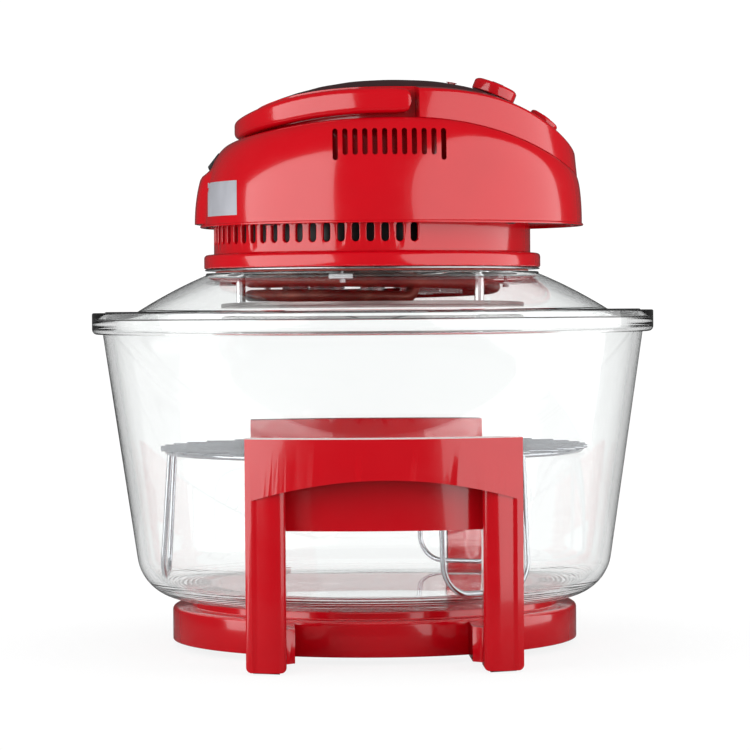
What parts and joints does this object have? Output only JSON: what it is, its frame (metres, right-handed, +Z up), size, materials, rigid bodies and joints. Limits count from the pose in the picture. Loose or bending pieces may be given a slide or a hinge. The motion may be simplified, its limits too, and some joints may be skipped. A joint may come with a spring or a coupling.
{
  "type": "halogen oven",
  "caption": "Tabletop oven: a round glass bowl with a wire rack, on a stand with side handles, under a lift-off glass lid that carries a heater, fan and knobs.",
  "frame": {"origin": "on the floor, on the bowl's axis", "axes": "+Z up along the bowl's axis, +X to the front, where the knobs are, +Y to the stand's far handle"},
  "size_m": [0.34, 0.364, 0.3428],
  "materials": {
    "red_plastic": "glossy red moulding",
    "steel": "bright steel",
    "glass": "clear, faintly green at its edges",
    "dark_panel": "very dark maroon, high gloss",
    "chrome_wire": "bright chrome",
    "foot_rubber": "matt black",
    "black_plastic": "satin black",
    "silicone": "matt, dull red",
    "heater_sheath": "dark oxidised sheath",
    "copper": "enamelled copper wire",
    "lamp_red": "tinted lens",
    "lamp_green": "tinted lens"
  },
  "bodies": {
    "stand": {"stand_ring": "red_plastic", "stand_handle_left": "red_plastic", "stand_handle_right": "red_plastic", "foot_front_left": "foot_rubber", "foot_front_right": "foot_rubber", "foot_rear_left": "foot_rubber", "foot_rear_right": "foot_rubber", "stand_screw_1": "steel", "stand_screw_2": "steel", "stand_screw_3": "steel", "stand_screw_4": "steel"},
    "bowl": {"glass_bowl": "glass"},
    "rack": {"wire_rack": "chrome_wire"},
    "lid": {"glass_lid": "glass", "lid_gasket": "silicone", "clamp_clip_1": "steel", "clamp_clip_2": "steel", "clamp_clip_3": "steel", "clamp_screw_1": "steel", "clamp_screw_2": "steel", "clamp_screw_3": "steel", "heat_shield": "steel", "lower_housing": "red_plastic", "head_shell": "red_plastic", "head_screw_1": "steel", "head_screw_2": "steel", "head_screw_3": "steel", "head_screw_4": "steel", "top_panel": "dark_panel", "power_lamp": "lamp_red", "heating_lamp": "lamp_green", "timer_switch": "black_plastic", "temperature_switch": "black_plastic", "motor_mount": "steel", "motor_stator": "steel", "motor_winding": "copper", "bearing_bridge": "steel", "heater_coil": "heater_sheath", "guard_plate": "steel", "guard_post_1": "steel", "guard_post_2": "steel", "guard_post_3": "steel", "guard_screw_1": "steel", "guard_screw_2": "steel", "guard_screw_3": "steel", "power_inlet": "black_plastic", "safety_switch": "black_plastic", "handle_pin_left": "steel", "handle_pin_right": "steel"},
    "carry_handle": {"carry_handle": "red_plastic"},
    "plunger": {"switch_plunger": "black_plastic"},
    "timer": {"timer_knob": "red_plastic", "timer_spindle": "steel"},
    "dial": {"temperature_knob": "red_plastic", "temperature_spindle": "steel"},
    "fan_rotor": {"motor_rotor": "steel", "motor_shaft": "steel", "cooling_fan": "black_plastic", "oven_fan": "steel"}
  },
  "joints": [
    {"name": "bowl_lift", "type": "slide", "parent": "stand", "child": "bowl", "axis": [0, 0, 1], "range_m": [0, 0.15]},
    {"name": "rack_lift", "type": "slide", "parent": "bowl", "child": "rack", "axis": [0, 0, 1], "range_m": [0, 0.07]},
    {"name": "lid_lift", "type": "slide", "parent": "bowl", "child": "lid", "axis": [0, 0, 1], "range_m": [0, 0.2]},
    {"name": "handle_fold", "type": "hinge", "parent": "lid", "child": "carry_handle", "pos_m": [0.013, 0, 0.3235], "axis": [0, 1, 0], "range_deg": [0, 90]},
    {"name": "plunger_rise", "type": "slide", "parent": "lid", "child": "plunger", "axis": [0, 0, 1], "range_m": [0, 0.003]},
    {"name": "timer_turn", "type": "hinge", "parent": "lid", "child": "timer", "pos_m": [0.0735, 0, 0.33115], "axis": [0.3778, 0, 0.9259], "range_deg": [-330, 0]},
    {"name": "dial_turn", "type": "hinge", "parent": "lid", "child": "dial", "pos_m": [0.103, 0, 0.31425], "axis": [0.599, 0, 0.8008], "range_deg": [-270, 0]},
    {"name": "fan_spin", "type": "hinge", "parent": "lid", "child": "fan_rotor", "pos_m": [0, 0, 0.25], "axis": [0, 0, 1], "continuous": true}
  ],
  "couplings": [
    {"joint": "plunger_rise", "follows": "handle_fold", "m_per_rad": 0.0019}
  ]
}
